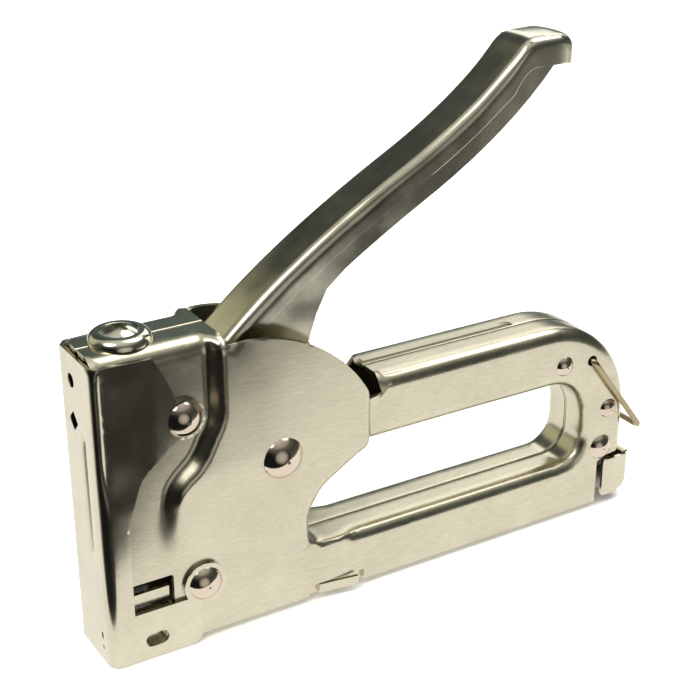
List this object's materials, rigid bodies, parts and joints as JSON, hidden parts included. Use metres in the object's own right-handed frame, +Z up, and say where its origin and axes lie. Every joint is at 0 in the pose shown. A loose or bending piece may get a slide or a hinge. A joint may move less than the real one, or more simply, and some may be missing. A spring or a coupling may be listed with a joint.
{
  "type": "staple gun",
  "caption": "Hand staple gun in pressed plated steel: squeeze lever, spring-driven blade, slide-out staple magazine and wire lever lock.",
  "frame": {"origin": "on the sole of the nose, at the nose face, midway between the two shells", "axes": "+X from the nose face to the rear of the grip, +Y across the tool, +Z up from the sole to the lever"},
  "size_m": [0.1592, 0.0306, 0.1339],
  "materials": {
    "nickel_shell": "satin nickel plate, faint brushed grain",
    "nickel_cover": "satin nickel plate",
    "lever_nickel": "semi-bright nickel plate, lightly worn",
    "bright_rivet": "polished domed heads",
    "screw_nickel": "polished nickel plate",
    "bail_wire": "drawn spring wire, yellow passivated",
    "inner_steel": "plain pressed steel",
    "hard_steel": "hardened and ground",
    "spring_steel": "oiled spring wire",
    "staple_wire": "galvanised wire",
    "bush_brass": "plain bearing bush"
  },
  "bodies": {
    "frame": {"near_shell": "nickel_shell", "far_shell": "nickel_shell", "nose_cover": "nickel_cover", "screw_boss": "screw_nickel", "blade_guide": "nickel_cover", "pivot_rivet": "bright_rivet", "pivot_spacers": "inner_steel", "nose_rivets": "bright_rivet", "nose_spacers": "inner_steel", "grip_rivets": "bright_rivet", "grip_spacers": "inner_steel", "magazine_rivet": "bright_rivet", "magazine_channel": "nickel_cover", "staple_strip": "staple_wire", "main_spring": "spring_steel"},
    "lever": {"lever_shell": "lever_nickel", "lever_arm": "lever_nickel", "pivot_bush": "bush_brass", "roller_pin": "hard_steel"},
    "roller": {"lift_roller": "hard_steel"},
    "driver": {"plunger": "hard_steel", "driver_blade": "hard_steel", "blade_rivets": "hard_steel"},
    "screw": {"adjusting_screw": "screw_nickel"},
    "seat": {"spring_seat": "inner_steel"},
    "loader": {"end_cap": "nickel_cover", "feed_rail": "inner_steel", "guide_rod": "hard_steel", "pusher_spring": "spring_steel"},
    "pusher": {"pusher": "hard_steel"},
    "bail": {"wire_bail": "bail_wire"}
  },
  "joints": [
    {"name": "lever_pivot", "type": "hinge", "parent": "frame", "child": "lever", "pos_m": [0.045, 0, 0.0449], "axis": [0, 1, 0], "range_deg": [0, 38], "stiffness_Nm_per_rad": 10.7, "springref_deg": -11.46},
    {"name": "driver_slide", "type": "slide", "parent": "frame", "child": "driver", "axis": [0, 0, 1], "range_m": [0, 0.017], "deforming": ["main_spring"]},
    {"name": "roller_spin", "type": "hinge", "parent": "lever", "child": "roller", "pos_m": [0.02272, 0, 0.0293], "axis": [0, 1, 0], "continuous": true},
    {"name": "screw_turn", "type": "hinge", "parent": "frame", "child": "screw", "pos_m": [0.0113, 0, 0.081], "axis": [0, 0, 1], "range_deg": [0, 1440]},
    {"name": "seat_slide", "type": "slide", "parent": "frame", "child": "seat", "axis": [0, 0, -1], "range_m": [0, 0.0032], "deforming": ["main_spring"]},
    {"name": "loader_slide", "type": "slide", "parent": "frame", "child": "loader", "axis": [1, 0, 0], "range_m": [0, 0.11]},
    {"name": "pusher_slide", "type": "slide", "parent": "loader", "child": "pusher", "axis": [1, 0, 0], "range_m": [0, 0.045], "stiffness_N_per_m": 40, "springref_m": -0.06, "deforming": ["pusher_spring"]},
    {"name": "bail_hinge", "type": "hinge", "parent": "frame", "child": "bail", "pos_m": [0.1405, 0, 0.0456], "axis": [0, -1, 0], "range_deg": [0, 116]}
  ],
  "couplings": [
    {"joint": "driver_slide", "follows": "lever_pivot", "m_per_rad": 0.0256},
    {"joint": "screw_turn", "follows": "seat_slide", "rad_per_m": 7854}
  ]
}
